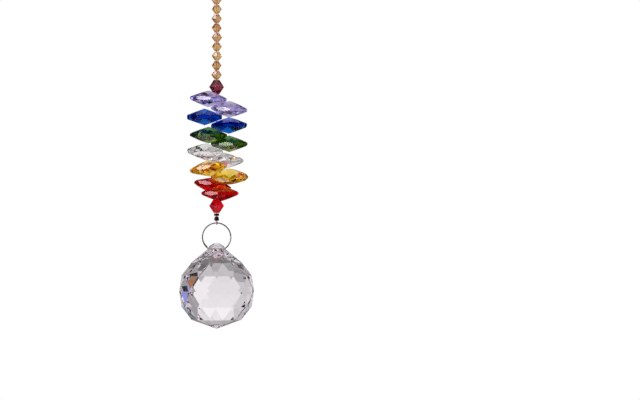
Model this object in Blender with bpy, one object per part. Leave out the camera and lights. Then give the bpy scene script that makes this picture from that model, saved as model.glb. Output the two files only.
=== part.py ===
"""A crystal suncatcher: a strand of cut glass beads on a nylon thread, with a faceted ball below.

Everything hangs from the top ring. The origin is where a hook would touch that ring, at the
inside of its top, and each piece is placed by walking down the strand from there. The front of
the object faces -Y. Sizes are in metres.
"""
import bmesh
import bpy
import numpy as np
from math import asin, cos, hypot, pi, radians, sin, sqrt, tan
from mathutils import Matrix, Vector

MM = 0.001

# Clearances
GAP = 0.3 * MM             # between pieces that touch
BEAD_GAP = 0.2 * MM        # between two small beads that touch

# Thread
THREAD_THICK = 0.36 * MM
THREAD_STEPS = 78          # points along the thread
STRAIGHT_STEP = 9.0 * MM   # about one point for this much length,
BEND_STEP = 18.0           # and one for this many degrees of bend
SPAN_SAMPLES = 24          # finer points per span, from which those are chosen
STRAND_POINTS = 12         # route points up the straight strand, less one

# Split rings, each one wire wound twice round
RING_WIDE = 12.0 * MM      # outside
RING_WIRE = 0.5 * MM
RING_TURN_GAP = 0.05 * MM  # between the two turns
RING_CROSSING_AT = 251.0   # degrees, where the wire crosses from one turn to the other
RING_CROSSING = 25.0       # degrees from the crossing to each free end
RING_SPRING = 0.3 * MM     # how far the free ends lean inwards
RING_SPRING_OVER = 50.0    # degrees of wire that lean
RING_STEPS = 66
WIRE_STEPS = 7
WIRE_SMOOTH_BELOW = 60     # degrees, edges flatter than this are shaded smooth

# Ball
BALL_WIDE = 30.0 * MM      # across flats at the widest
BALL_SIDES = 12
BALL_LATITUDE_STEP = 24.0  # degrees from one row of corners to the next
BALL_POINT = 15.3 * MM     # centre to the lower point
SHOULDER_RADIUS = 7.9 * MM
SHOULDER_HEIGHT = 13.4 * MM
NECK_RADIUS = 3.75 * MM
NECK_HEIGHT = 17.0 * MM
DOME_RADIUS = 2.9 * MM
DOME_HEIGHT = 18.3 * MM
KNOB_TOP_RADIUS = 1.1 * MM
KNOB_TOP_HEIGHT = 19.3 * MM
GLASS_OVER_BORE = 1.6 * MM
BORE_STEPS = 20

# Octagon beads
OCTAGON_WIDE = 14.0 * MM   # across flats
OCTAGON_THICK = 6.8 * MM
OCTAGON_RIM = 1.8 * MM     # rim height in the middle of a flat
OCTAGON_CORNER = 0.8 * MM  # rim height at a corner
OCTAGON_HOLE = 1.4 * MM
OCTAGON_HOLE_OUT = 5.2 * MM
HOLE_STEPS = 10

# Bicone beads
LARGE_BICONE_WIDE = 6.0 * MM
LARGE_BICONE_LONG = 5.8 * MM
LARGE_BICONE_END = 2.3 * MM
LARGE_BICONE_HOLE = 1.1 * MM
SMALL_BICONE_WIDE = 4.2 * MM
SMALL_BICONE_LONG = 3.6 * MM
SMALL_BICONE_END = 1.7 * MM
SMALL_BICONE_HOLE = 0.9 * MM
SMALL_BICONES = 24
BICONE_SIDES = 8
BICONE_GIRDLE = 0.12 * MM  # height of the narrow band at the widest place
BICONE_TURN = 23.0         # degrees that each small bead is turned past the one below

# Crimps
COLLAR_WIDE = 2.1 * MM
COLLAR_LONG = 1.0 * MM
KNOT_WIDE = 2.0 * MM
KNOT_LONG = 1.8 * MM
KNOT_BANDS = 6                 # rows of faces over a knot's outside
CRIMP_EDGE = 0.1 * MM          # how far the ends are rounded off
CRIMP_STEPS = 12
LOOP_SKEW = 0.3 * MM           # how far the loop's two sides lie to the left and the right
THREAD_OVER_RING = 0.6 * MM    # bare thread between a ring and its knot
TAIL_LONG = 0.7 * MM           # length of the thread's cut end inside the collar
SMOOTH_BELOW = 40              # degrees, edges flatter than this are shaded smooth

# Each octagon, from the lowest: where its middle lies seen from above (0 to the front, 90 to
# the right), how much it rises to the right and to the back, in degrees, and how much more
# room it takes over the bead below than level beads would, in millimetres.
OCTAGONS = (
    ("octagon_red_1", "red", 17, 0, 0, 0.0),
    ("octagon_red_2", "red", -160, -9.5, -5.5, 0.04),
    ("octagon_amber_1", "amber", 90, -1.5, 14, -0.29),
    ("octagon_amber_2", "amber", -37, 8.5, -5, -0.21),
    ("octagon_clear_1", "clear", 142, 0.5, -5.5, 0.01),
    ("octagon_clear_2", "clear", -59, -4.5, 8.5, -0.13),
    ("octagon_green_1", "green", 103, -0.5, 2, -0.18),
    ("octagon_green_2", "green", -37, -1, 3, 0.18),
    ("octagon_blue_1", "blue", 76, 1.5, -4, -0.12),
    ("octagon_blue_2", "blue", -67, 0.5, -0.5, 0.25),
    ("octagon_lavender_1", "lavender", 93, -3.5, 2, 0.08),
    ("octagon_lavender_2", "lavender", -37, -3.5, 0, 0.13),
)
DRILLED_BY_FLATS = ("red",)    # finishes whose octagons have their holes by flats, not by corners

# Colour, roughness and metallic value of each material
FINISHES = {
    "clear": ((0.86, 0.86, 0.88), 0.05, 0.0),
    "red": ((0.62, 0.02, 0.05), 0.05, 0.0),
    "amber": ((0.85, 0.45, 0.04), 0.05, 0.0),
    "green": ((0.04, 0.25, 0.05), 0.05, 0.0),
    "blue": ((0.01, 0.08, 0.50), 0.05, 0.0),
    "lavender": ((0.50, 0.42, 0.75), 0.05, 0.0),
    "purple": ((0.30, 0.06, 0.12), 0.05, 0.0),
    "champagne": ((0.72, 0.45, 0.22), 0.05, 0.0),
    "dark_metal": ((0.05, 0.02, 0.03), 0.35, 0.8),
    "steel": ((0.30, 0.30, 0.31), 0.20, 1.0),
    "thread": ((0.80, 0.62, 0.66), 0.40, 0.0),
}

# Values worked out from the sizes above
RING_OUT = RING_WIDE / 2
RING_MIDDLE = RING_OUT - RING_WIRE / 2
RING_IN = RING_OUT - RING_WIRE
THREAD_SPREAD = THREAD_THICK / 2 + 0.25 * GAP        # half the distance of two strands in a crimp
CRIMP_HOLE = THREAD_THICK + 2 * THREAD_SPREAD + GAP  # holds two strands
LOOP_DROP = RING_WIRE / 2 + THREAD_THICK / 2 + GAP / 2
LOOP_DEPTH = LOOP_DROP + (RING_WIRE + RING_TURN_GAP) / 2


def clear_scene():
    for old in list(bpy.data.objects):
        bpy.data.objects.remove(old, do_unlink=True)


def material(name):
    """The Principled material of one finish, made once."""
    found = bpy.data.materials.get(name)
    if found:
        return found
    colour, roughness, metallic = FINISHES[name]
    made = bpy.data.materials.new(name)
    made.use_nodes = True
    shader = made.node_tree.nodes["Principled BSDF"]
    shader.inputs["Base Color"].default_value = (*colour, 1.0)
    shader.inputs["Roughness"].default_value = roughness
    shader.inputs["Metallic"].default_value = metallic
    return made


def add_object(name, mesh, finish, place=(0, 0, 0), turn=None):
    piece = bpy.data.objects.new(name, mesh)
    bpy.context.scene.collection.objects.link(piece)
    if not mesh.materials:
        mesh.materials.append(None)
    piece.material_slots[0].link = "OBJECT"
    piece.material_slots[0].material = material(finish)
    rotation = turn or Matrix.Identity(3)
    piece.matrix_world = Matrix.Translation(place) @ rotation.to_4x4()
    return piece


def mesh_from(bm, name, smooth_below=None):
    """Ends a bmesh as a mesh with faces out, smooth over edges flatter than an angle in degrees."""
    bmesh.ops.recalc_face_normals(bm, faces=bm.faces)
    mesh = bpy.data.meshes.new(name)
    bm.to_mesh(mesh)
    bm.free()
    if smooth_below:
        mesh.shade_smooth()
        mesh.set_sharp_from_angle(angle=radians(smooth_below))
    return mesh


def ring_of(bm, radius, height, sides, start=0.0):
    """A level ring of corners; start is a share of one step."""
    angles = [2 * pi * (k + start) / sides for k in range(sides)]
    return [bm.verts.new((radius * cos(a), radius * sin(a), height)) for a in angles]


def band(bm, lower, upper):
    """Quads between two rings with their corners in line."""
    count = len(lower)
    for k in range(count):
        n = (k + 1) % count
        bm.faces.new((lower[k], lower[n], upper[n], upper[k]))


def zigzag(bm, lower, upper, upper_ahead):
    """Triangles between two rings that are half a step apart."""
    count = len(lower)
    for k in range(count):
        n = (k + 1) % count
        if upper_ahead:
            bm.faces.new((lower[k], lower[n], upper[k]))
            bm.faces.new((upper[k], lower[n], upper[n]))
        else:
            bm.faces.new((lower[k], upper[n], upper[k]))
            bm.faces.new((lower[k], lower[n], upper[n]))


def turned(name, profile, sides, smooth_below=None):
    """A body turned around Z from a closed profile of (radius, height)."""
    bm = bmesh.new()
    rings = [ring_of(bm, radius, height, sides) for radius, height in profile]
    for lower, upper in zip(rings, rings[1:] + rings[:1]):
        band(bm, lower, upper)
    return mesh_from(bm, name, smooth_below)


def cut(mesh, cutters):
    """The mesh with cutters taken out by Booleans, as a new mesh. The helpers are removed."""
    block = add_object("block", mesh, "clear")
    for cutter in cutters:
        cutter.hide_render = True
        cutter.display_type = "WIRE"
        boolean = block.modifiers.new("bore", "BOOLEAN")
        boolean.operation = "DIFFERENCE"
        boolean.solver = "EXACT"
        boolean.object = cutter
    bpy.context.view_layer.update()
    evaluated = block.evaluated_get(bpy.context.evaluated_depsgraph_get())
    result = bpy.data.meshes.new_from_object(evaluated)
    result.name = mesh.name
    for helper in [block, *cutters]:
        bpy.data.objects.remove(helper, do_unlink=True)
    return result


def drill(diameter, length, steps, place, axis):
    """A cutter: a straight round bar along X or Z."""
    bm = bmesh.new()
    turn = Matrix.Rotation(pi / 2, 3, "Y") if axis == "X" else Matrix.Identity(3)
    bmesh.ops.create_cone(bm, cap_ends=True, segments=steps, radius1=diameter / 2,
                          radius2=diameter / 2, depth=length)
    return add_object("drill", mesh_from(bm, "drill"), "clear", place, turn)


def knob_radius_at(height):
    """Half the glass's width at a height of the knob."""
    outline = ((SHOULDER_HEIGHT, SHOULDER_RADIUS), (NECK_HEIGHT, NECK_RADIUS),
               (DOME_HEIGHT, DOME_RADIUS), (KNOB_TOP_HEIGHT, KNOB_TOP_RADIUS))
    return float(np.interp(height, [z for z, r in outline], [r for z, r in outline]))


def ball_bore():
    """The bore's top, its middle and its diameter, and the ring's middle, above the ball's middle.

    The ball hangs with its bore's two upper lips on the ring's inside, and the bore is as high
    as the ring's bow needs.
    """
    top = KNOB_TOP_HEIGHT - GLASS_OVER_BORE
    lip = knob_radius_at(top)
    ring_height = top - GAP + sqrt(RING_IN ** 2 - lip ** 2)
    bottom = ring_height - RING_OUT - GAP
    return (top + bottom) / 2, top - bottom, ring_height


def ball_mesh():
    """Rows of twelve corners, each half a step round from the next, so the facets are triangles."""
    radius = BALL_WIDE / 2 / cos(pi / BALL_SIDES)
    rows = [(radius * cos(radians(k * BALL_LATITUDE_STEP)),
             radius * sin(radians(k * BALL_LATITUDE_STEP))) for k in (-2, -1, 0, 1, 2)]
    rows += [(SHOULDER_RADIUS, SHOULDER_HEIGHT), (NECK_RADIUS, NECK_HEIGHT),
             (DOME_RADIUS, DOME_HEIGHT), (KNOB_TOP_RADIUS, KNOB_TOP_HEIGHT)]
    bm = bmesh.new()
    rings = [ring_of(bm, r, z, BALL_SIDES, 0.5 * ((k + 1) % 2)) for k, (r, z) in enumerate(rows)]
    for k, (lower, upper) in enumerate(zip(rings, rings[1:])):
        zigzag(bm, lower, upper, k % 2 == 1)
    point = bm.verts.new((0, 0, -BALL_POINT))
    for k in range(BALL_SIDES):
        bm.faces.new((point, rings[0][(k + 1) % BALL_SIDES], rings[0][k]))
    bm.faces.new(rings[-1])
    middle, diameter, _ = ball_bore()
    bore = drill(diameter, BALL_WIDE, BORE_STEPS, (0, 0, middle), "X")
    return cut(mesh_from(bm, "ball"), [bore])


def octagon_slopes():
    """How steeply the main facets and the corner facets rise, as height over distance."""
    flat = OCTAGON_WIDE / 2
    corner = flat / cos(pi / 8)
    main = (OCTAGON_THICK - OCTAGON_RIM) / 2 / flat
    kite = (OCTAGON_RIM - OCTAGON_CORNER) / 2 / (corner - flat * cos(pi / 8))
    return flat, corner, main, kite


def octagon_mesh(start):
    """One octagon bead, its middle at the origin and its two holes on X.

    Each side has eight main facets that rise to one point, and eight kites over the corners.
    A start of 0 has the holes by two corners, and 0.5 by two flats.
    """
    flat, corner, main, kite = octagon_slopes()
    along_corner = main * cos(pi / 8)
    top = OCTAGON_THICK / 2
    kite_top = OCTAGON_CORNER / 2 + kite * corner
    meet = (kite_top - top) / (kite - along_corner)
    bm = bmesh.new()
    sides = {}
    for s in (-1, 1):
        sides[s] = (bm.verts.new((0, 0, s * top)),
                    ring_of(bm, meet, s * (top - along_corner * meet), 8, start),
                    ring_of(bm, corner, s * OCTAGON_CORNER / 2, 8, start),
                    ring_of(bm, flat, s * OCTAGON_RIM / 2, 8, start + 0.5))
    for s in (-1, 1):
        point, inner, corners, peaks = sides[s]
        for k in range(8):
            n = (k + 1) % 8
            bm.faces.new((point, inner[k], peaks[k], inner[n]))
            bm.faces.new((inner[n], peaks[k], corners[n], peaks[n]))
    for k in range(8):
        n = (k + 1) % 8
        lower, upper = sides[-1], sides[1]
        bm.faces.new((lower[2][k], lower[3][k], lower[2][n], upper[2][n], upper[3][k], upper[2][k]))
    drills = [drill(OCTAGON_HOLE, 2 * OCTAGON_THICK, HOLE_STEPS, (x, 0, 0), "Z")
              for x in (-OCTAGON_HOLE_OUT, OCTAGON_HOLE_OUT)]
    return cut(mesh_from(bm, "octagon"), drills)


def bicone_mesh(name, wide, long, end, hole):
    profile = ((hole / 2, -long / 2), (end / 2, -long / 2), (wide / 2, -BICONE_GIRDLE / 2),
               (wide / 2, BICONE_GIRDLE / 2), (end / 2, long / 2), (hole / 2, long / 2))
    return turned(name, profile, BICONE_SIDES)


def collar_mesh():
    """A short crimped tube with a slightly swollen middle."""
    hole, out = CRIMP_HOLE / 2, COLLAR_WIDE / 2
    end = max(out - CRIMP_EDGE, hole + CRIMP_EDGE)
    half = COLLAR_LONG / 2
    profile = ((hole, -half), (end, -half), (out, -half / 2), (out, half / 2), (end, half),
               (hole, half))
    return turned("collar", profile, CRIMP_STEPS, SMOOTH_BELOW)


def knot_mesh():
    """A knotted lump, round outside, with the two strands running through."""
    hole, out, half = CRIMP_HOLE / 2, KNOT_WIDE / 2, KNOT_LONG / 2
    lean = asin(min((hole + CRIMP_EDGE) / out, 0.95))
    steps = [lean + (pi - 2 * lean) * k / KNOT_BANDS for k in range(KNOT_BANDS + 1)]
    stretch = half / cos(lean)
    profile = [(hole, -half)] + [(out * sin(a), -stretch * cos(a)) for a in steps] + [(hole, half)]
    return turned("knot", profile, CRIMP_STEPS, SMOOTH_BELOW)


def smooth_step(x):
    x = min(max(x, 0.0), 1.0)
    return x * x * (3 - 2 * x)


def wire_ring_mesh():
    """A split ring in the X-Z plane, its middle at the origin.

    The wire goes twice round and crosses from the back turn to the front one between its ends.
    """
    cross = radians(RING_CROSSING)
    whole = 4 * pi
    bm = bmesh.new()
    loops = []
    for t in np.linspace(cross, whole - cross, RING_STEPS):
        crossed = smooth_step((t - (2 * pi - cross)) / (2 * cross))
        to_end = min(t, whole - t) - cross
        lean = max(0.0, 1 - to_end / radians(RING_SPRING_OVER)) ** 2
        a = radians(RING_CROSSING_AT) + t
        loop = []
        for k in range(WIRE_STEPS):
            b = 2 * pi * k / WIRE_STEPS
            r = RING_MIDDLE - RING_SPRING * lean + RING_WIRE / 2 * cos(b)
            y = (0.5 - crossed) * (RING_WIRE + RING_TURN_GAP) + RING_WIRE / 2 * sin(b)
            loop.append(bm.verts.new((r * cos(a), y, r * sin(a))))
        loops.append(loop)
    for lower, upper in zip(loops, loops[1:]):
        band(bm, lower, upper)
    bm.faces.new(loops[0])
    bm.faces.new(loops[-1])
    return mesh_from(bm, "wire_ring", WIRE_SMOOTH_BELOW)


def octagon_turn(heading, rise_right, rise_back):
    """The turn that points a bead's middle along its heading and tilts it."""
    up = Vector((-tan(radians(rise_right)), -tan(radians(rise_back)), 1)).normalized()
    out = Vector((sin(radians(heading)), -cos(radians(heading)), 0))
    out = (out - up * out.dot(up)).normalized()
    return Matrix((out, up.cross(out), up)).transposed()


def octagon_rise(heading, heading_below):
    """How far one level octagon's hole lies over the next lower one's.

    Beads on the same side meet point to point, and neighbours meet near the thread. The less
    squarely two neighbours lie opposite, the more their thick parts overlap.
    """
    flat, _, main, _ = octagon_slopes()
    apart = 2 * OCTAGON_HOLE_OUT * abs(sin(radians(heading - heading_below) / 2))
    nested = OCTAGON_RIM + main * (2 * flat - apart)
    return max(OCTAGON_THICK / 2, nested)


def hole_half_height(rise_right, rise_back):
    """How far an octagon reaches over or under the middle of its hole, where a bicone's end rests."""
    _, _, main, _ = octagon_slopes()
    lean = hypot(tan(radians(rise_right)), tan(radians(rise_back)))
    rest = max(LARGE_BICONE_END, OCTAGON_HOLE) / 2
    return OCTAGON_THICK / 2 - main * (OCTAGON_HOLE_OUT - rest) + lean * rest


def smooth_route(points, count):
    """Count points, evenly spaced, on a smooth curve through the given points."""
    p = np.array([points[0], *points, points[-1]])
    curve = []
    for k in range(1, len(p) - 2):
        for t in np.linspace(0, 1, SPAN_SAMPLES, endpoint=False):
            a, b, c, d = p[k - 1:k + 3]
            curve.append(0.5 * (2 * b + (c - a) * t + (2 * a - 5 * b + 4 * c - d) * t ** 2
                                + (3 * b - a - 3 * c + d) * t ** 3))
    curve = np.array(curve + [p[-1]])
    length = np.linalg.norm(np.diff(curve, axis=0), axis=1)
    bend = np.zeros(len(length))
    bend[1:] = np.linalg.norm(np.diff(curve, 2, axis=0), axis=1) / length[1:]
    # Points lie closer where the route bends.
    weight = length / STRAIGHT_STEP + bend / radians(BEND_STEP)
    travelled = np.concatenate([[0], np.cumsum(weight)])
    marks = np.linspace(0, travelled[-1], count)
    return np.stack([np.interp(marks, travelled, curve[:, i]) for i in range(3)], axis=1)


def ring_loop(ring_middle, inner_side):
    """The thread's way round a ring's two turns, from -Y to +Y.

    inner_side is -1 at the top of a ring that hangs on the thread, and 1 at the foot of one
    that the thread hangs on.
    """
    wire = ring_middle - inner_side * RING_MIDDLE
    angles = [radians(a) for a in (-15, 15, 50, 90, 130, 165, 195)]
    return [(-LOOP_SKEW * cos(a), -LOOP_DEPTH * cos(a), wire + inner_side * LOOP_DROP * sin(a))
            for a in angles]


def knot_way(side, knot_middle, end):
    """The thread's way through a knot, from its upper or lower end (1 or -1) to the other."""
    return [(0, side, knot_middle + end * KNOT_LONG / 2), (0, side, knot_middle - end * KNOT_LONG / 2)]


def build():
    clear_scene()
    ring = wire_ring_mesh()
    knot, collar = knot_mesh(), collar_mesh()
    small = bicone_mesh("bicone_small", SMALL_BICONE_WIDE, SMALL_BICONE_LONG, SMALL_BICONE_END,
                        SMALL_BICONE_HOLE)
    large = bicone_mesh("bicone_large", LARGE_BICONE_WIDE, LARGE_BICONE_LONG, LARGE_BICONE_END,
                        LARGE_BICONE_HOLE)
    octagon_by_corners, octagon_by_flats = octagon_mesh(0.0), octagon_mesh(0.5)

    # The top ring, then its knot and collar
    top_ring_z = -RING_IN
    add_object("ring_top", ring, "steel", (0, 0, top_ring_z))
    z = top_ring_z - RING_OUT - THREAD_OVER_RING - KNOT_LONG / 2
    top_knot_z = z
    add_object("knot_top", knot, "dark_metal", (0, 0, z))
    z -= KNOT_LONG / 2 + BEAD_GAP + COLLAR_LONG / 2
    top_collar_z = z
    add_object("collar_top", collar, "dark_metal", (0, 0, z))
    z -= COLLAR_LONG / 2 + BEAD_GAP

    # The champagne beads, numbered from the lowest
    for k in range(SMALL_BICONES):
        spin = Matrix.Rotation(radians(BICONE_TURN * k), 3, "Z")
        name = f"bead_champagne_{SMALL_BICONES - k:02d}"
        add_object(name, small, "champagne", (0, 0, z - SMALL_BICONE_LONG / 2), spin)
        z -= SMALL_BICONE_LONG + BEAD_GAP
    add_object("bead_purple", large, "purple", (0, 0, z - LARGE_BICONE_LONG / 2))
    z -= LARGE_BICONE_LONG + BEAD_GAP

    # The octagons, from the highest down
    stack = list(reversed(OCTAGONS))
    z -= hole_half_height(*stack[0][3:5])
    for k, (name, finish, heading, rise_right, rise_back, extra) in enumerate(stack):
        turn = octagon_turn(heading, rise_right, rise_back)
        middle = turn @ Vector((OCTAGON_HOLE_OUT, 0, 0))
        octagon = octagon_by_flats if finish in DRILLED_BY_FLATS else octagon_by_corners
        add_object(name, octagon, finish, (middle.x, middle.y, z + middle.z), turn)
        if k + 1 < len(stack):
            z -= octagon_rise(heading, stack[k + 1][2]) + extra * MM
    z -= hole_half_height(*stack[-1][3:5]) + BEAD_GAP

    # The red bead, the lower collar and knot, the lower ring and the ball
    add_object("bead_red", large, "red", (0, 0, z - LARGE_BICONE_LONG / 2))
    z -= LARGE_BICONE_LONG + BEAD_GAP + COLLAR_LONG / 2
    low_collar_z = z
    add_object("collar_bottom", collar, "dark_metal", (0, 0, z))
    z -= COLLAR_LONG / 2 + BEAD_GAP + KNOT_LONG / 2
    low_knot_z = z
    add_object("knot_bottom", knot, "dark_metal", (0, 0, z))
    low_ring_z = z - KNOT_LONG / 2 - THREAD_OVER_RING - RING_OUT
    add_object("ring_bottom", ring, "steel", (0, 0, low_ring_z))
    _, _, ring_over_ball = ball_bore()
    add_object("crystal_ball", ball_mesh(), "clear", (0, 0, low_ring_z - ring_over_ball))

    # The thread: up from its cut end, round the lower ring, through every bead, round the top
    # ring and back into the top collar
    low_tail = (0, -THREAD_SPREAD, low_collar_z - COLLAR_LONG / 2 + TAIL_LONG)
    top_tail = (0, THREAD_SPREAD, top_collar_z + COLLAR_LONG / 2 - TAIL_LONG)
    lowest, highest = low_collar_z + COLLAR_LONG, top_collar_z - COLLAR_LONG
    route = [low_tail, *knot_way(-THREAD_SPREAD, low_knot_z, 1), *ring_loop(low_ring_z, -1),
             *knot_way(THREAD_SPREAD, low_knot_z, -1), (0, THREAD_SPREAD, low_collar_z)]
    route += [(0, 0, lowest + (highest - lowest) * k / STRAND_POINTS)
              for k in range(STRAND_POINTS + 1)]
    route += [(0, -THREAD_SPREAD, top_collar_z), *knot_way(-THREAD_SPREAD, top_knot_z, -1),
              *ring_loop(top_ring_z, 1), *knot_way(THREAD_SPREAD, top_knot_z, 1), top_tail]
    add_thread(route)


def add_thread(route):
    curve = bpy.data.curves.new("thread", "CURVE")
    curve.dimensions = "3D"
    curve.bevel_depth = THREAD_THICK / 2
    curve.bevel_resolution = 2
    curve.use_fill_caps = True
    points = smooth_route(route, THREAD_STEPS)
    spline = curve.splines.new("POLY")
    spline.points.add(len(points) - 1)
    for spot, place in zip(spline.points, points):
        spot.co = (*place, 1.0)
    curve.materials.append(material("thread"))
    piece = bpy.data.objects.new("thread", curve)
    bpy.context.scene.collection.objects.link(piece)


build()
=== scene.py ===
"""The looks of a crystal suncatcher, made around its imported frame.

Cut glass beads hang on a nylon thread, with a faceted ball on a split ring below them. Every piece
takes its place from the frame. The strand hangs along Z, and its front faces -Y. Sizes are in metres.
"""
from math import cos, pi, radians, sin

import bmesh
import bpy
import numpy as np
from bpy.props import FloatProperty, FloatVectorProperty, IntProperty, PointerProperty
from mathutils import Matrix, Vector


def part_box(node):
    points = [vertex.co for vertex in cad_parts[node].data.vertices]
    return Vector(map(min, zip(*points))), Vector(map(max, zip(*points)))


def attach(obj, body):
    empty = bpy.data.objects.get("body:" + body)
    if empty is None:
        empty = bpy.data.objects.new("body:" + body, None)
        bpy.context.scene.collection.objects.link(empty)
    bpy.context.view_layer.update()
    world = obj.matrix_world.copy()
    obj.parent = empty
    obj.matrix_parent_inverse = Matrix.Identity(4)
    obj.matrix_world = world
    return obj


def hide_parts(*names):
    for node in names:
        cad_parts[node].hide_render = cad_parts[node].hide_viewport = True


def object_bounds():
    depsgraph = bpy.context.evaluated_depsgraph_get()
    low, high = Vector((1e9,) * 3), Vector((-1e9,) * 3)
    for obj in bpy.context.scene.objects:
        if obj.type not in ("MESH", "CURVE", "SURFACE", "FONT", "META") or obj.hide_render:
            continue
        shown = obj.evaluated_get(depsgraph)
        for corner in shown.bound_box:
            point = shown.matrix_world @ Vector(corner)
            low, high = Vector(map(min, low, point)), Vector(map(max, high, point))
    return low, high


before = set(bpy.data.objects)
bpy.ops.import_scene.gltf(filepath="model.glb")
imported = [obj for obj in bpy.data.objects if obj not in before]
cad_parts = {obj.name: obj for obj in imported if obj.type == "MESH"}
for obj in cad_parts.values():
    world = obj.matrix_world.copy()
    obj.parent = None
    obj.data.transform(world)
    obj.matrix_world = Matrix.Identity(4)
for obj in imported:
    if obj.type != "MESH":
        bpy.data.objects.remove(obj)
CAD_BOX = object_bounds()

bl_info = {
    "name": "Crystal suncatcher",
    "version": (1, 0, 0),
    "blender": (4, 5, 0),
    "location": "3D View > Sidebar > Suncatcher",
    "description": "Cut glass beads, a faceted ball and split rings on a nylon thread",
    "category": "Add Mesh",
}

MM = 0.001
BODY = "root"
BAR_LONG = 60 * MM      # a drill bar, longer than any piece is thick

# The photograph's width and height in pixels, the size of one at the strand, and where the strand
# and the ball's middle are in it
PICTURE_WIDE = 640
PICTURE_HIGH = 400
PIXEL = 0.405 * MM
STRAND_PIXEL_X = 216.6
BALL_PIXEL_Y = 291.0

# The octagons' colours, two beads of each, from the lowest
OCTAGON_COLOURS = ("red", "amber", "clear", "green", "blue", "lavender")
DRILLED_BY_FLATS = ("red",)     # the others have their holes by two corners
SMALL_BICONE_NODES = sorted(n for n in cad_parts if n.startswith("bead_champagne"))


# Sizes and colours that a user would change

def length(name, about, default):
    return FloatProperty(name=name, description=about, default=default, min=0.0, precision=5,
                         subtype="DISTANCE", unit="LENGTH")


def share(name, about, default):
    return FloatProperty(name=name, description=about, default=default, min=0.0, max=1.0)


def turn(name, about, default):
    return FloatProperty(name=name, description=about, default=radians(default), subtype="ANGLE",
                         unit="ROTATION")


def count(name, about, default):
    return IntProperty(name=name, description=about, default=default, min=3)


def colour(name, about, default):
    return FloatVectorProperty(name=name, description=about, default=default, size=3, min=0.0,
                               max=1.0, subtype="COLOR")


class BallSizes(bpy.types.PropertyGroup):
    wide: length("Width", "Across flats at the widest", 30.0 * MM)
    sides: count("Sides", "Corners in each row", 12)
    row_step: turn("Row step", "Latitude from one row of corners to the next", 24.0)
    point: length("Point", "From the middle to the lower point", 15.3 * MM)
    shoulder_radius: length("Shoulder radius", "Corners of the knob's foot", 7.9 * MM)
    shoulder_height: length("Shoulder height", "Above the middle", 13.4 * MM)
    neck_radius: length("Neck radius", "Corners half up the knob", 3.75 * MM)
    neck_height: length("Neck height", "Above the middle", 17.0 * MM)
    dome_radius: length("Dome radius", "Corners of the knob's dome", 2.9 * MM)
    dome_height: length("Dome height", "Above the middle", 18.3 * MM)
    top_radius: length("Top radius", "Corners of the small table on top", 1.1 * MM)
    top_height: length("Top height", "Above the middle", 19.3 * MM)
    bore_middle: length("Bore height", "Of the ring's bore, above the middle", 16.603 * MM)
    bore_wide: length("Bore width", "Diameter of the ring's bore", 2.194 * MM)
    bore_sides: count("Bore sides", "Sides of the bore", 48)
    mouth: length("Mouth", "Rounding of the bore's mouths", 0.12 * MM)
    edge: length("Edge", "Width of the chamfer on each cut edge", 0.09 * MM)


class OctagonSizes(bpy.types.PropertyGroup):
    wide: length("Width", "Across flats", 14.0 * MM)
    thick: length("Thickness", "From point to point", 6.8 * MM)
    rim: length("Rim", "Height of the rim in the middle of a flat", 1.8 * MM)
    corner: length("Corner", "Height of the rim at a corner", 0.8 * MM)
    hole: length("Hole", "Diameter of each of the two holes", 1.4 * MM)
    hole_out: length("Hole place", "From the middle to a hole", 5.2 * MM)
    hole_sides: count("Hole sides", "Sides of a hole", 28)
    mouth: length("Mouth", "Rounding of the holes' mouths", 0.05 * MM)
    edge: length("Edge", "Width of the chamfer on each cut edge", 0.06 * MM)


class BiconeSizes(bpy.types.PropertyGroup):
    sides: count("Sides", "Facets round a bead", 8)
    girdle: length("Girdle", "Height of the band at the widest place", 0.12 * MM)
    large_wide: length("Large width", "Corner to corner", 6.0 * MM)
    large_long: length("Large length", "Along the thread", 5.8 * MM)
    large_end: length("Large end", "Width of the end faces", 2.3 * MM)
    large_hole: length("Large hole", "Diameter", 1.1 * MM)
    small_wide: length("Small width", "Corner to corner", 4.2 * MM)
    small_long: length("Small length", "Along the thread", 3.6 * MM)
    small_end: length("Small end", "Width of the end faces", 1.7 * MM)
    small_hole: length("Small hole", "Diameter", 0.9 * MM)
    hole_sides: count("Hole sides", "Sides of a hole", 16)
    small_turn: turn("Small turn", "How far each small bead is turned past the next lower", 23.0)
    small_sway: length("Small sway", "How far a small bead may lie off the thread's line", 0.1 * MM)
    small_lean: turn("Small lean", "How far a small bead may lean", 3.0)
    edge: length("Edge", "Width of the chamfer on each cut edge", 0.04 * MM)


class MetalSizes(bpy.types.PropertyGroup):
    wire: length("Wire", "Thickness of the rings' wire", 0.5 * MM)
    turn_gap: length("Turn gap", "Between the two turns of a ring", 0.05 * MM)
    crossing_at: turn("Crossing", "Where the wire crosses to the other turn", 251.0)
    crossing: turn("Crossing half", "From the crossing to each free end", 25.0)
    spring: length("Spring", "How far the free ends lean inwards", 0.3 * MM)
    spring_over: turn("Spring over", "How much of the wire leans", 50.0)
    ring_steps: count("Ring steps", "Steps along a ring's wire", 260)
    wire_sides: count("Wire sides", "Sides of a ring's wire", 14)
    crimp_sides: count("Crimp sides", "Sides of a collar or knot", 32)
    crimp_hole: length("Crimp hole", "From a crimp's middle to its wall", 0.585 * MM)
    squeeze: share("Squeeze", "How much flatter than round a crimp is", 0.08)
    collar_dent: share("Collar dent", "Depth of a collar's dents, as a share of its radius", 0.22)
    knot_dent: share("Knot dent", "Depth of a knot's dents, as a share of its radius", 0.15)


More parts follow.
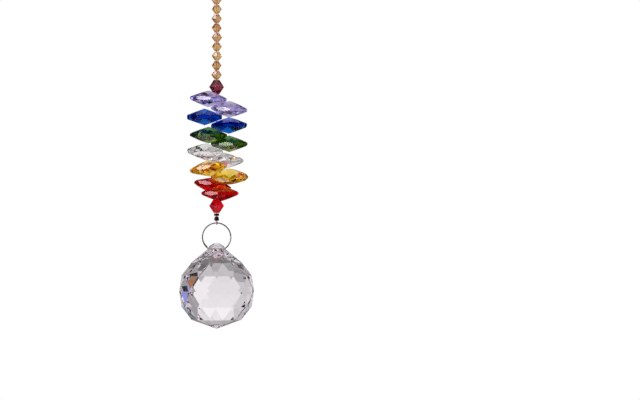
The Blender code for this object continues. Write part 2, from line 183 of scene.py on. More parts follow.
class ThreadSizes(bpy.types.PropertyGroup):
    thick: length("Thickness", "Of the nylon thread", 0.36 * MM)
    gap: length("Gap", "Between the thread and the wire it goes round", 0.15 * MM)
    spread: length("Spread", "Half the distance of two strands in a crimp", 0.255 * MM)
    skew: length("Skew", "How far a loop's two sides lie to the left and the right", 0.3 * MM)
    tail: length("Tail", "Length of the cut end inside a collar", 0.7 * MM)
    meet: length("Meet", "From a collar to where its two strands are one", 0.5 * MM)
    step: length("Step", "Between the thread's rings of corners", 0.22 * MM)
    sides: count("Sides", "Sides of the thread", 10)


class GlassColours(bpy.types.PropertyGroup):
    """The colour that light keeps after 10 mm of each glass."""
    clear: colour("Clear", "Lead crystal", (0.982, 0.974, 0.982))
    red: colour("Red", "Deep red", (0.76, 0.0008, 0.003))
    amber: colour("Amber", "Golden yellow", (0.98, 0.68, 0.09))
    green: colour("Green", "Fern green", (0.10, 0.22, 0.001))
    blue: colour("Blue", "Sapphire", (0.003, 0.10, 0.56))
    lavender: colour("Lavender", "Pale violet", (0.63, 0.58, 0.85))
    purple: colour("Purple", "Dark wine purple", (0.13, 0.012, 0.022))
    champagne: colour("Champagne", "Warm light gold", (0.62, 0.28, 0.075))


class StudioLook(bpy.types.PropertyGroup):
    distance: length("Camera distance", "From the strand to the camera", 1.2)
    floor_drop: length("Floor", "From the ball's point down to the floor", 90 * MM)
    floor_radius: length("Floor radius", "Of the round floor", 0.85)


class SuncatcherSettings(bpy.types.PropertyGroup):
    ball: PointerProperty(type=BallSizes)
    octagon: PointerProperty(type=OctagonSizes)
    bicone: PointerProperty(type=BiconeSizes)
    metal: PointerProperty(type=MetalSizes)
    thread: PointerProperty(type=ThreadSizes)
    glass: PointerProperty(type=GlassColours)
    studio: PointerProperty(type=StudioLook)


def settings():
    return bpy.context.scene.suncatcher


# Node trees

class Socket:
    """A node's output that can stand in a sum: each operation adds its Math node."""

    def __init__(self, tree, output):
        self.tree = tree
        self.output = output

    def maths(self, operation, *values, first=None):
        values = (first if first is not None else self, *values)
        made = add_node(self.tree, "ShaderNodeMath", {"operation": operation},
                        dict(enumerate(values)))
        return made[0]

    def __add__(self, other):
        return self.maths("ADD", other)

    def __radd__(self, other):
        return self.maths("ADD", self, first=other)

    def __sub__(self, other):
        return self.maths("SUBTRACT", other)

    def __rsub__(self, other):
        return self.maths("SUBTRACT", self, first=other)

    def __mul__(self, other):
        return self.maths("MULTIPLY", other)

    def __rmul__(self, other):
        return self.maths("MULTIPLY", self, first=other)

    def __truediv__(self, other):
        return self.maths("DIVIDE", other)

    def __abs__(self):
        return self.maths("ABSOLUTE")

    def __neg__(self):
        return self.maths("MULTIPLY", -1.0)

    def fade(self, start, end, low=1.0, high=0.0):
        """From low at start to high at end, with soft ends."""
        return add_node(self.tree, "ShaderNodeMapRange", {"interpolation_type": "SMOOTHSTEP"},
                        {"Value": self, "From Min": start, "From Max": end, "To Min": low,
                         "To Max": high})["Result"]


class Outputs:
    """A new node's outputs, by name or by number."""

    def __init__(self, tree, node):
        self.tree = tree
        self.node = node

    def __getitem__(self, key):
        return Socket(self.tree, self.node.outputs[key])


def add_node(tree, kind, options=None, inputs=None):
    """A new node with its options set first, then its sockets' values or links."""
    node = tree.nodes.new(kind)
    for name, value in (options or {}).items():
        if name == "stops":
            ramp = node.color_ramp
            while len(ramp.elements) < len(value):
                ramp.elements.new(0.5)
            for stop, (place, shade) in zip(ramp.elements, value):
                stop.position = place
                stop.color = (*shade, 1.0)
        else:
            setattr(node, name, value)
    for name, value in (inputs or {}).items():
        socket = node.inputs[name]
        if isinstance(value, Socket):
            tree.links.new(value.output, socket)
        elif socket.type == "RGBA":
            socket.default_value = (*value, 1.0) if len(value) == 3 else value
        else:
            socket.default_value = value
    return Outputs(tree, node)


def mix_colours(tree, factor, a, b, blend="MIX"):
    made = add_node(tree, "ShaderNodeMix", {"data_type": "RGBA", "blend_type": blend},
                    {0: factor, 6: a, 7: b})
    return made[2]


def new_material(name):
    """An empty material, its tree and the piece's own coordinates."""
    made = bpy.data.materials.new(name)
    made.use_nodes = True
    tree = made.node_tree
    tree.nodes.clear()
    place = add_node(tree, "ShaderNodeTexCoord")["Object"]
    return made, tree, place


def attribute(tree, name):
    return add_node(tree, "ShaderNodeAttribute", {"attribute_name": name})["Fac"]


def vector(tree, **parts):
    """A vector from its X, Y and Z, where a part that isn't given is 0."""
    return add_node(tree, "ShaderNodeCombineXYZ", {}, parts)["Vector"]


def grey(tree, shade):
    return vector(tree, X=shade, Y=shade, Z=shade)


def relief(tree, strength, distance, height):
    """The normal of a surface with fine bumps."""
    return add_node(tree, "ShaderNodeBump", {}, {"Strength": strength, "Distance": distance,
                                                 "Height": height})["Normal"]


def noise(tree, place, scale, detail=2.0, stretch=None):
    """Blender's noise, about 0.5 in the middle. Scale is in waves for each metre."""
    if stretch:
        place = add_node(tree, "ShaderNodeMapping", {}, {"Vector": place, "Scale": stretch})["Vector"]
    return add_node(tree, "ShaderNodeTexNoise", {},
                    {"Vector": place, "Scale": scale, "Detail": detail})["Fac"]


def end_material(made, tree, inputs, options=None, volume=None):
    """Ends a material in its one shader, and in the volume inside if it has one."""
    shader = add_node(tree, "ShaderNodeBsdfPrincipled", options, inputs)
    ends = {"Surface": shader["BSDF"]}
    if volume:
        ends["Volume"] = volume
    add_node(tree, "ShaderNodeOutputMaterial", {}, ends)
    return made


# Finishes

def cut_glass(name, kept, tint, ior=1.56, shine=(1.0, 1.0, 1.0), gloss=0.0, painted_facet_light=()):
    """Polished cut glass that takes its colour in the depth.

    kept is the colour that light has after 10 mm of the glass, tint the colour that each surface
    adds, and shine the colour of what it mirrors. gloss is the share of a soft gloss on the facets
    that are marked rim, and the facet colours, if given, are a ramp of painted sheen and shade:
    colours that each facet takes at random in place of a coat's coloured reflections. The cut
    edges and the drilled holes are ground and less clear.
    """
    made, tree, place = new_material(name)
    edge = attribute(tree, "cut_edge")
    bore = attribute(tree, "bore")
    cloud = noise(tree, place, 260.0)
    streak = noise(tree, place, 900.0, 4.0, (1.0, 1.0, 6.0))
    polish = noise(tree, place, 5200.0, 3.0, (1.0, 4.0, 1.0))
    faded = [1 - 0.8 * (1 - c) for c in tint]
    body = mix_colours(tree, cloud.fade(0.35, 0.65, 0.0, 1.0), tint, faded)
    if painted_facet_light:
        # Painted sheen and shade: each facet takes a colour at random in place of a coat's coloured
        # reflections, and each bead leans to one of them.
        coat = add_node(tree, "ShaderNodeValToRGB", {"stops": painted_facet_light}, {
            "Fac": 0.7 * attribute(tree, "shimmer") + 0.3 * attribute(tree, "bead_tint")})
        body = mix_colours(tree, 0.85, body, coat["Color"])
    body = mix_colours(tree, bore * 0.3, body, (0.88, 0.87, 0.86))
    grain = polish.fade(0.62, 0.80, 0.0, 0.03) + streak.fade(0.55, 0.75, 0.0, 0.012)
    rough = grain + edge * 0.10 + bore * (0.15 + 0.2 * polish)
    wave = noise(tree, place, 110.0, 0.0)
    normal = relief(tree, 0.12, 0.01 * MM, wave + 4.0 * bore * polish)
    outside = 1 - add_node(tree, "ShaderNodeNewGeometry")["Backfacing"]
    # What is kept after 10 mm gives the absorption for each metre.
    takes = [-np.log(max(c, 1e-4)) / (10 * MM) for c in kept]
    strongest = max(takes)
    absorbed = add_node(tree, "ShaderNodeVolumeAbsorption", {}, {
        "Color": [1 - t / strongest for t in takes], "Density": float(strongest)})
    return end_material(made, tree, {
        "Base Color": body, "Roughness": rough, "IOR": ior, "Transmission Weight": 1.0,
        "Specular Tint": shine, "Coat Weight": gloss * attribute(tree, "rim") * outside,
        "Coat IOR": 1.8, "Coat Roughness": 0.08, "Normal": normal},
        {"distribution": "GGX"}, absorbed["Volume"])


def spring_wire():
    """Dark nickel-plated wire with fine marks along it."""
    made, tree, place = new_material("spring_wire")
    patch = noise(tree, place, 420.0, 3.0)
    marks = noise(tree, place, 9000.0, 2.0, (1.0, 0.2, 1.0))
    shade = mix_colours(tree, patch.fade(0.35, 0.7, 0.0, 1.0), (0.42, 0.41, 0.41),
                        (0.24, 0.235, 0.24))
    rough = 0.16 + 0.14 * marks + patch.fade(0.5, 0.75, 0.0, 0.12)
    return end_material(made, tree, {
        "Base Color": shade, "Metallic": 1.0, "Roughness": rough,
        "Normal": relief(tree, 0.3, 0.008 * MM, marks)})


def crimp_metal():
    """Nearly black wine-coloured metal, brighter in patches where its bumps rise."""
    made, tree, place = new_material("crimp_metal")
    patch = noise(tree, place, 1300.0, 3.0)
    pits = noise(tree, place, 5200.0, 4.0)
    shade = mix_colours(tree, patch.fade(0.45, 0.75, 0.0, 1.0), (0.030, 0.010, 0.014),
                        (0.085, 0.045, 0.05))
    rough = 0.22 + 0.25 * pits
    return end_material(made, tree, {
        "Base Color": shade, "Metallic": 0.75, "Roughness": rough,
        "Normal": relief(tree, 0.5, 0.03 * MM, pits + patch)})


def nylon():
    """Pinkish nylon with its twist along it, and painted shade in the twist's grooves."""
    made, tree, place = new_material("nylon")
    along = attribute(tree, "along")
    around = attribute(tree, "around")
    twist = (along * 5200.0 + around * (4 * pi)).maths("SINE")
    patch = noise(tree, place, 700.0, 2.0)
    # Painted shade: darker in the twist's grooves, where the bump is low, and lighter on its ridges
    shade = mix_colours(tree, twist.fade(-1.0, 0.4, 0.0, 1.0), (0.50, 0.33, 0.37),
                        (0.86, 0.70, 0.73))
    shade = mix_colours(tree, patch.fade(0.4, 0.7, 0.0, 0.3), shade, (0.72, 0.5, 0.55))
    rough = 0.32 + 0.12 * patch
    return end_material(made, tree, {
        "Base Color": shade, "Roughness": rough, "Normal": relief(tree, 0.5, 0.02 * MM, twist)})


# The champagne facets' painted sheen and shade, from dark gold over rose and gold to pale green
CHAMPAGNE_PAINTED_FACET_LIGHT = ((0.18, (0.42, 0.20, 0.08)), (0.34, (1.0, 0.76, 0.62)), (0.48, (1.0, 0.84, 0.50)),
                   (0.60, (1.0, 0.80, 0.34)), (0.72, (0.92, 0.90, 0.52)), (0.86, (1.0, 0.93, 0.86)))

# Each glass: the colour that a surface adds, then what else differs from plain cut glass
GLASSES = {
    "clear": ((1.0, 1.0, 1.0), {"ior": 1.60}),
    "red": ((1.0, 0.28, 0.34), {"shine": (1.0, 0.25, 0.32), "gloss": 0.6}),
    "amber": ((1.0, 0.92, 0.62), {"shine": (1.0, 0.85, 0.50), "gloss": 0.8}),
    "green": ((0.66, 0.86, 0.28), {"shine": (0.45, 0.80, 0.25), "gloss": 0.7}),
    "blue": ((0.46, 0.76, 1.0), {"shine": (0.15, 0.45, 1.0)}),
    "lavender": ((0.92, 0.88, 1.0), {"gloss": 0.8}),
    "purple": ((0.84, 0.42, 0.50), {"shine": (1.0, 0.6, 0.65)}),
    "champagne": ((1.0, 0.86, 0.72), {"painted_facet_light": CHAMPAGNE_PAINTED_FACET_LIGHT}),
}
OTHER_FINISHES = {"dark_metal": crimp_metal, "steel": spring_wire, "thread": nylon}
MADE_FINISHES = {}


def finish(slot):
    """The material of a record slot, made once."""
    if slot not in MADE_FINISHES:
        if slot in OTHER_FINISHES:
            MADE_FINISHES[slot] = OTHER_FINISHES[slot]()
        else:
            glass = slot.removesuffix("_crystal")
            tint, special = GLASSES[glass]
            kept = getattr(settings().glass, glass)
            MADE_FINISHES[slot] = cut_glass(slot, kept, tint, **special)
    return MADE_FINISHES[slot]


# Shapes

def middle(node):
    low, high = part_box(node)
    return (low + high) / 2


def ring_of(bm, radius, height, sides, start=0.0):
    """A level ring of corners; start is a share of one step."""
    angles = [2 * pi * (k + start) / sides for k in range(sides)]
    return [bm.verts.new((radius * cos(a), radius * sin(a), height)) for a in angles]


def band(bm, lower, upper):
    """Quads between two rings with their corners in line."""
    for k, corner in enumerate(lower):
        n = (k + 1) % len(lower)
        bm.faces.new((corner, lower[n], upper[n], upper[k]))


def zigzag(bm, lower, upper, upper_ahead):
    """Triangles between two rings that are half a step apart."""
    for k, corner in enumerate(lower):
        n = (k + 1) % len(lower)
        if upper_ahead:
            bm.faces.new((corner, lower[n], upper[k]))
            bm.faces.new((upper[k], lower[n], upper[n]))
        else:
            bm.faces.new((corner, upper[n], upper[k]))
            bm.faces.new((corner, lower[n], upper[n]))


def bevel_cuts(bm, width, least_angle=radians(5)):
    """Chamfers every edge where two facets meet, and marks the new faces as cut_edge."""
    bmesh.ops.recalc_face_normals(bm, faces=bm.faces)
    mark = bm.faces.layers.float.new("cut_edge")
    edges = [e for e in bm.edges if e.calc_face_angle(0.0) > least_angle]
    made = bmesh.ops.bevel(bm, geom=edges, offset=width, offset_type="WIDTH", segments=1,
                           profile=0.5, affect="EDGES", clamp_overlap=True)
    for face in made["faces"]:
        face[mark] = 1.0


def plain_mesh(bm, name):
    bmesh.ops.recalc_face_normals(bm, faces=bm.faces)
    mesh = bpy.data.meshes.new(name)
    bm.to_mesh(mesh)
    bm.free()
    return mesh


def new_object(name, mesh):
    piece = bpy.data.objects.new(name, mesh)
    bpy.context.scene.collection.objects.link(piece)
    return piece


def evaluated_mesh(piece, name):
    """The piece's mesh with its modifiers applied, as a new mesh."""
    bpy.context.view_layer.update()
    graph = bpy.context.evaluated_depsgraph_get()
    mesh = bpy.data.meshes.new_from_object(piece.evaluated_get(graph))
    mesh.name = name
    return mesh


def drilled(mesh, bars):
    """The mesh with round bars taken out; each bar is (middle, diameter, axis, sides)."""
    block = new_object("block", mesh)
    cutters = []
    for place, diameter, axis, sides in bars:
        bm = bmesh.new()
        bmesh.ops.create_cone(bm, cap_ends=True, segments=sides, radius1=diameter / 2,
                              radius2=diameter / 2, depth=BAR_LONG)
        cutter = new_object("bar", plain_mesh(bm, "bar"))
        cutter.data.transform(Matrix.Translation(place) @ Vector((0, 0, 1)).rotation_difference(
            Vector(axis)).to_matrix().to_4x4())
        boolean = block.modifiers.new("bore", "BOOLEAN")
        boolean.solver = "EXACT"
        boolean.object = cutter
        cutters.append(cutter)
    result = evaluated_mesh(block, mesh.name)
    for helper in (block, *cutters):
        bpy.data.objects.remove(helper, do_unlink=True)
    return result


def finish_bores(mesh, bars, mouth):
    """Marks the walls of the bores, shades them smooth and rounds their mouths."""
    bm = bmesh.new()
    bm.from_mesh(mesh)
    bmesh.ops.remove_doubles(bm, verts=bm.verts, dist=1e-7)
    mark = bm.faces.layers.float.new("bore")

    def in_bore(face):
        for place, diameter, axis, _ in bars:
            way = Vector(axis).normalized()
            flat = abs(face.normal.dot(way)) < 0.05
            out = [(v.co - Vector(place)) for v in face.verts]
            reach = max((o - way * o.dot(way)).length for o in out)
            if flat and reach < diameter * 0.502:   # just over the radius
                return True
        return False

    for face in bm.faces:
        face[mark] = 1.0 if in_bore(face) else 0.0
    lips = [e for e in bm.edges
            if len(e.link_faces) == 2 and len({f[mark] for f in e.link_faces}) == 2]
    bmesh.ops.bevel(bm, geom=lips, offset=mouth, offset_type="OFFSET", segments=2, profile=0.5,
                    affect="EDGES", clamp_overlap=True)
    for face in bm.faces:
        face.smooth = face[mark] > 0.5
    for e in bm.edges:
        e.smooth = all(f[mark] > 0.5 for f in e.link_faces)
    bm.to_mesh(mesh)
    bm.free()
    return mesh


def place_piece(name, mesh, slot, *nodes):
    """Makes a finished piece with its body, its material slot and the nodes that it stands for."""
    piece = new_object(name, mesh)
    if not mesh.materials:
        mesh.materials.append(None)
    mesh.materials[0] = finish(slot)
    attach(piece, BODY)
    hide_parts(*nodes)


def ball_mesh():
    """Rows of corners, each half a step round from the next, so the facets are triangles."""
    s = settings().ball
    radius = s.wide / 2 / cos(pi / s.sides)
    rows = [(radius * cos(k * s.row_step), radius * sin(k * s.row_step)) for k in (-2, -1, 0, 1, 2)]
    rows += [(s.shoulder_radius, s.shoulder_height), (s.neck_radius, s.neck_height),
             (s.dome_radius, s.dome_height), (s.top_radius, s.top_height)]
    bm = bmesh.new()
    rings = [ring_of(bm, r, z, s.sides, 0.5 * ((k + 1) % 2)) for k, (r, z) in enumerate(rows)]
    for k, (lower, upper) in enumerate(zip(rings, rings[1:])):
        zigzag(bm, lower, upper, k % 2 == 1)
    point = bm.verts.new((0, 0, -s.point))
    for k in range(s.sides):
        bm.faces.new((point, rings[0][(k + 1) % s.sides], rings[0][k]))
    bm.faces.new(rings[-1])
    bevel_cuts(bm, s.edge)
    bars = [((0, 0, s.bore_middle), s.bore_wide, (1, 0, 0), s.bore_sides)]
    mesh = drilled(plain_mesh(bm, "crystal_ball_cut"), bars)
    return finish_bores(mesh, bars, s.mouth)


def octagon_mesh(start):
    """One octagon bead, its middle at the origin and its two holes on X.

    Each side has eight main facets that rise to one point, and eight kites over the corners.
    A start of 0 has the holes by two corners, and 0.5 by two flats.
    """
    s = settings().octagon
    flat = s.wide / 2
    corner = flat / cos(pi / 8)
    main = (s.thick - s.rim) / 2 / flat
    kite = (s.rim - s.corner) / 2 / (corner - flat * cos(pi / 8))
    along_corner = main * cos(pi / 8)
    top = s.thick / 2
    meet = (s.corner / 2 + kite * corner - top) / (kite - along_corner)
    bm = bmesh.new()
    mark = bm.faces.layers.float.new("rim")
    sides = {}
    for side in (-1, 1):
        sides[side] = (bm.verts.new((0, 0, side * top)),
                       ring_of(bm, meet, side * (top - along_corner * meet), 8, start),
                       ring_of(bm, corner, side * s.corner / 2, 8, start),
                       ring_of(bm, flat, side * s.rim / 2, 8, start + 0.5))
        point, inner, corners, peaks = sides[side]
        for k in range(8):
            n = (k + 1) % 8
            bm.faces.new((point, inner[k], peaks[k], inner[n]))
            bm.faces.new((inner[n], peaks[k], corners[n], peaks[n]))
    lower, upper = sides[-1], sides[1]
    for k in range(8):
        n = (k + 1) % 8
        flat_side = (lower[2][k], lower[3][k], lower[2][n], upper[2][n], upper[3][k], upper[2][k])
        bm.faces.new(flat_side)[mark] = 1.0
    bevel_cuts(bm, s.edge)
    bars = [((x, 0, 0), s.hole, (0, 0, 1), s.hole_sides) for x in (-s.hole_out, s.hole_out)]
    mesh = drilled(plain_mesh(bm, "octagon_cut"), bars)
    return finish_bores(mesh, bars, s.mouth)


def octagon_pose(node):
    """Where one octagon of the frame lies: its middle, its thin axis and the way from the thread."""
    co = np.array([v.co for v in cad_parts[node].data.vertices])
    co = np.unique(co.round(7), axis=0)
    centre = middle(node)
    away = co - np.array(centre)
    _, axes = np.linalg.eigh(away.T @ away)
    up = Vector(axes[:, 0])
    if up.z < 0:
        up = -up
    out = Vector((centre.x, centre.y, 0))
    out.z = -(out.x * up.x + out.y * up.y) / up.z
    out.normalize()
    turned = Matrix((out, up.cross(out), up)).transposed()
    return Matrix.Translation(centre) @ turned.to_4x4()


def bicone_mesh(name, wide, long, end, hole):
    """A bead of two pyramids foot to foot, with a round hole along Z."""
    s = settings().bicone
    rows = ((end / 2, -long / 2), (wide / 2, -s.girdle / 2), (wide / 2, s.girdle / 2),
            (end / 2, long / 2))
    bm = bmesh.new()
    rings = [ring_of(bm, r, z, s.sides) for r, z in rows]
    for lower, upper in zip(rings, rings[1:]):
        band(bm, lower, upper)
    bm.faces.new(rings[0])
    bm.faces.new(rings[-1])
    bevel_cuts(bm, s.edge)
    bars = [((0, 0, 0), hole, (0, 0, 1), s.hole_sides)]
    mesh = drilled(plain_mesh(bm, name), bars)
    return finish_bores(mesh, bars, s.edge)


# Geometry Nodes

def new_group(name, inputs):
    """An empty geometry group with named inputs of the given kinds, and its tree."""
    tree = bpy.data.node_groups.new(name, "GeometryNodeTree")
    for socket, kind in (("Geometry", "NodeSocketGeometry"), *inputs):
        tree.interface.new_socket(name=socket, in_out="INPUT", socket_type=kind)
    tree.interface.new_socket(name="Geometry", in_out="OUTPUT", socket_type="NodeSocketGeometry")
    return tree, add_node(tree, "NodeGroupInput")


def stored(tree, geometry, name, value, domain="POINT"):
    """The geometry with a value kept under a name."""
    return add_node(tree, "GeometryNodeStoreNamedAttribute", {"data_type": "FLOAT", "domain": domain},
                    {"Geometry": geometry, "Name": name, "Value": value})["Geometry"]


def round_profile(tree, sides, thickness):
    return add_node(tree, "GeometryNodeCurvePrimitiveCircle", {}, {
        "Resolution": sides, "Radius": thickness / 2})["Curve"]


def end_in_tube(tree, path, profile, material):
    """Ends a group in a smooth closed tube along a path."""
    tube = add_node(tree, "GeometryNodeCurveToMesh", {}, {
        "Curve": path, "Profile Curve": profile, "Fill Caps": True})["Mesh"]
    smooth = add_node(tree, "GeometryNodeSetShadeSmooth", {}, {"Geometry": tube})["Geometry"]
    end_group(tree, smooth, material)


def end_group(tree, geometry, material):
    """Ends a group in real geometry with its material."""
    real = add_node(tree, "GeometryNodeRealizeInstances", {}, {"Geometry": geometry})["Geometry"]
    done = add_node(tree, "GeometryNodeSetMaterial", {}, {"Geometry": real, "Material": material})
    add_node(tree, "NodeGroupOutput", {}, {"Geometry": done["Geometry"]})


def run_group(piece, tree, values):
    """The plain mesh that a group makes of a piece; the helper piece is removed."""
    modifier = piece.modifiers.new(tree.name, "NODES")
    modifier.node_group = tree
    for item in tree.interface.items_tree:
        if item.in_out == "INPUT" and item.name in values:
            modifier[item.identifier] = values[item.name]
    mesh = evaluated_mesh(piece, tree.name)
    bpy.data.objects.remove(piece, do_unlink=True)
    if not mesh.vertices:
        raise RuntimeError(f"{tree.name} made nothing")
    return mesh


def bead_row_group():
    """Copies one bead up a line, each turned past the next lower, a little off line and leaning."""
    tree, given = new_group("bead_row", (
        ("Beads", "NodeSocketInt"), ("Lowest", "NodeSocketFloat"), ("Step", "NodeSocketFloat"),
        ("Turn", "NodeSocketFloat"), ("Sway", "NodeSocketFloat"), ("Lean", "NodeSocketFloat"),
        ("Seed", "NodeSocketInt"), ("Glass", "NodeSocketMaterial")))
    line = add_node(tree, "GeometryNodeMeshLine", {}, {
        "Count": given["Beads"], "Start Location": vector(tree, Z=given["Lowest"]),
        "Offset": vector(tree, Z=given["Step"])})

    def scatter(reach, offset):
        """A random vector for each bead, up to the reach along X and along Y."""
        low, high = vector(tree, X=-reach, Y=-reach), vector(tree, X=reach, Y=reach)
        return add_node(tree, "FunctionNodeRandomValue", {"data_type": "FLOAT_VECTOR"},
                        {0: low, 1: high, "Seed": given["Seed"] + offset})[0]

    def chance(offset):
        """A random value from 0 to 1 for each bead or facet."""
        return add_node(tree, "FunctionNodeRandomValue", {"data_type": "FLOAT"},
                        {"Seed": given["Seed"] + offset})[1]

    swayed = add_node(tree, "GeometryNodeSetPosition", {}, {
        "Geometry": line["Mesh"], "Offset": scatter(given["Sway"], 0)})["Geometry"]
    index = add_node(tree, "GeometryNodeInputIndex")["Index"]
    euler = add_node(tree, "ShaderNodeVectorMath", {"operation": "ADD"}, {
        0: vector(tree, Z=index * given["Turn"]), 1: scatter(given["Lean"], 1)})[0]
    rotation = add_node(tree, "FunctionNodeEulerToRotation", {}, {"Euler": euler})["Rotation"]
    beads = add_node(tree, "GeometryNodeInstanceOnPoints", {}, {
        "Points": swayed, "Instance": given["Geometry"], "Rotation": rotation})["Instances"]
    # Random picks for each bead and each facet of the champagne glass's painted sheen and shade
    beads = stored(tree, beads, "bead_tint", chance(2), "INSTANCE")
    real = add_node(tree, "GeometryNodeRealizeInstances", {}, {"Geometry": beads})["Geometry"]
    end_group(tree, stored(tree, real, "shimmer", chance(3), "FACE"), given["Glass"])
    return tree


def split_ring_group():
    """A wire wound twice round, which crosses from one turn to the other between its ends."""
    tree, given = new_group("split_ring", (
        ("Middle", "NodeSocketVector"), ("Radius", "NodeSocketFloat"), ("Wire", "NodeSocketFloat"),
        ("Turn Gap", "NodeSocketFloat"), ("Crossing At", "NodeSocketFloat"),
        ("Crossing", "NodeSocketFloat"), ("Spring", "NodeSocketFloat"),
        ("Spring Over", "NodeSocketFloat"), ("Steps", "NodeSocketInt"), ("Sides", "NodeSocketInt"),
        ("Metal", "NodeSocketMaterial")))
    line = add_node(tree, "GeometryNodeMeshLine", {}, {"Count": given["Steps"]})["Mesh"]
    index = add_node(tree, "GeometryNodeInputIndex")["Index"]
    cross = given["Crossing"]
    t = cross + index / (given["Steps"] - 1) * (4 * pi - 2 * cross)
    crossed = t.fade(2 * pi - cross, 2 * pi + cross, 0.0, 1.0)
    to_end = t.maths("MINIMUM", 4 * pi - t) - cross
    lean = (1 - to_end / given["Spring Over"]).maths("MAXIMUM", 0.0).maths("POWER", 2.0)
    angle = given["Crossing At"] + t
    radius = given["Radius"] - given["Spring"] * lean
    y = (0.5 - crossed) * (given["Wire"] + given["Turn Gap"])
    spot = vector(tree, X=radius * angle.maths("COSINE"), Y=y, Z=radius * angle.maths("SINE"))
    spot = add_node(tree, "ShaderNodeVectorMath", {"operation": "ADD"},
                    {0: spot, 1: given["Middle"]})[0]
    path = add_node(tree, "GeometryNodeSetPosition", {}, {"Geometry": line, "Position": spot})
    path = add_node(tree, "GeometryNodeMeshToCurve", {}, {"Mesh": path["Geometry"]})["Curve"]
    end_in_tube(tree, path, round_profile(tree, given["Sides"], given["Wire"]), given["Metal"])
    return tree


def thread_group():
    """A round thread along the piece's own curve, with how far along and around each point is."""
    tree, given = new_group("thread_run", (
        ("Thickness", "NodeSocketFloat"), ("Step", "NodeSocketFloat"), ("Sides", "NodeSocketInt"),
        ("Nylon", "NodeSocketMaterial")))
    path = add_node(tree, "GeometryNodeResampleCurve", {"mode": "LENGTH"},
                    {"Curve": given["Geometry"], "Length": given["Step"]})["Curve"]
    along = add_node(tree, "GeometryNodeSplineParameter")
    around = add_node(tree, "GeometryNodeSplineParameter")
    profile = round_profile(tree, given["Sides"], given["Thickness"])
    end_in_tube(tree, stored(tree, path, "along", along["Length"]),
                stored(tree, profile, "around", around["Factor"]), given["Nylon"])
    return tree


# Crimps and knots

# The outlines of a collar and a knot: (radius, height from the middle), from the lower end up
COLLAR_ROWS = [(r * MM, z * MM) for r, z in (
    (0.86, -0.5), (0.98, -0.44), (1.04, -0.25), (1.05, 0.0), (1.04, 0.25), (0.98, 0.44), (0.86, 0.5))]
KNOT_ROWS = [(r * MM, z * MM) for r, z in (
    (0.66, -0.9), (0.84, -0.78), (0.97, -0.5), (1.0, -0.2), (0.93, 0.1), (0.80, 0.4), (0.78, 0.65),
    (0.70, 0.82), (0.62, 0.9))]


def crimp_mesh(name, rows, dent):
    """A squeezed metal tube round the strands, dented in front and behind."""
    s = settings().metal
    bm = bmesh.new()
    outer = [ring_of(bm, r, z, s.crimp_sides) for r, z in rows]
    inner = [ring_of(bm, s.crimp_hole, z, s.crimp_sides) for z in (rows[-1][1], rows[0][1])]
    rings = outer + inner
    for lower, upper in zip(rings, rings[1:] + rings[:1]):
        band(bm, lower, upper)
    half = max(z for _, z in rows)
    for v in bm.verts:
        r = Vector((v.co.x, v.co.y)).length
        if r > s.crimp_hole * 1.05:
            across, up = v.co.x / (0.55 * r), v.co.z / half
            folded = 1 - dent * max(0.0, 1 - across ** 2) * (1 - 0.5 * up ** 2)
            v.co.y *= (1 - s.squeeze) * folded
        else:
            # The hole is narrower from side to side, as its two strands lie one behind the other.
            v.co.x *= 0.6
    for f in bm.faces:
        f.smooth = True
    return plain_mesh(bm, name)


# Operators

class SuncatcherOperator:
    bl_options = {"REGISTER", "UNDO"}


class SUNCATCHER_OT_stage(SuncatcherOperator, bpy.types.Operator):
    """Makes the camera, the floor and the studio's light"""
    bl_idname = "suncatcher.stage"
    bl_label = "Stage"

    def execute(self, context):
        look = settings().studio
        camera = bpy.data.cameras.new("camera")
        camera.sensor_width = 36.0
        camera.lens = camera.sensor_width * look.distance / (PICTURE_WIDE * PIXEL)
        camera.clip_start = 0.05
        camera.clip_end = 50
        eye = new_object("camera", camera)
        ball = middle("crystal_ball").z - (settings().ball.top_height - settings().ball.point) / 2
        eye.location = ((PICTURE_WIDE / 2 - STRAND_PIXEL_X) * PIXEL, -look.distance,
                        ball + (BALL_PIXEL_Y - PICTURE_HIGH / 2) * PIXEL)
        eye.rotation_euler = (pi / 2, 0, 0)
        context.scene.camera = eye

        bm = bmesh.new()
        bmesh.ops.create_circle(bm, cap_ends=True, segments=96, radius=look.floor_radius)
        floor = new_object("floor", plain_mesh(bm, "floor"))
        floor.data.transform(Matrix.Translation((0, 0, CAD_BOX[0][2] - look.floor_drop)))
        floor.data.materials.append(floor_finish())
        # The glass and the metal show the studio and not the floor, as in the photograph.
        floor.visible_transmission = False
        floor.visible_glossy = False
        context.scene.world = studio_world()
        context.scene.view_settings.view_transform = "Standard"
        context.scene.cycles.max_bounces = 28
        context.scene.cycles.transmission_bounces = 26
        context.scene.cycles.glossy_bounces = 10
        context.scene.cycles.sample_clamp_indirect = 2.0
        return {"FINISHED"}


def floor_finish():
    made, tree, place = new_material("pale_floor")
    cloud = noise(tree, place, 6.0, 2.0)
    shade = mix_colours(tree, cloud, (0.80, 0.80, 0.80), (0.84, 0.84, 0.84))
    return end_material(made, tree, {
        "Base Color": shade, "Roughness": 0.6, "Emission Color": (1.0, 1.0, 1.0),
        "Emission Strength": 0.42})


# How bright the studio is behind the object, by rise in degrees, and in front of it
BACK_LIGHT = ((-90, 0.45), (-64, 0.30), (-54, 0.13), (-43, 0.17), (-34, 0.36), (-29, 0.55),
              (-17.4, 0.54), (-16.6, 0.84), (0, 0.85), (13, 0.90), (25, 0.97), (29, 0.85),
              (36, 0.82), (51, 0.62), (60, 0.50), (90, 0.60))
FRONT_LIGHT = (0.88, 0.88, 0.90)

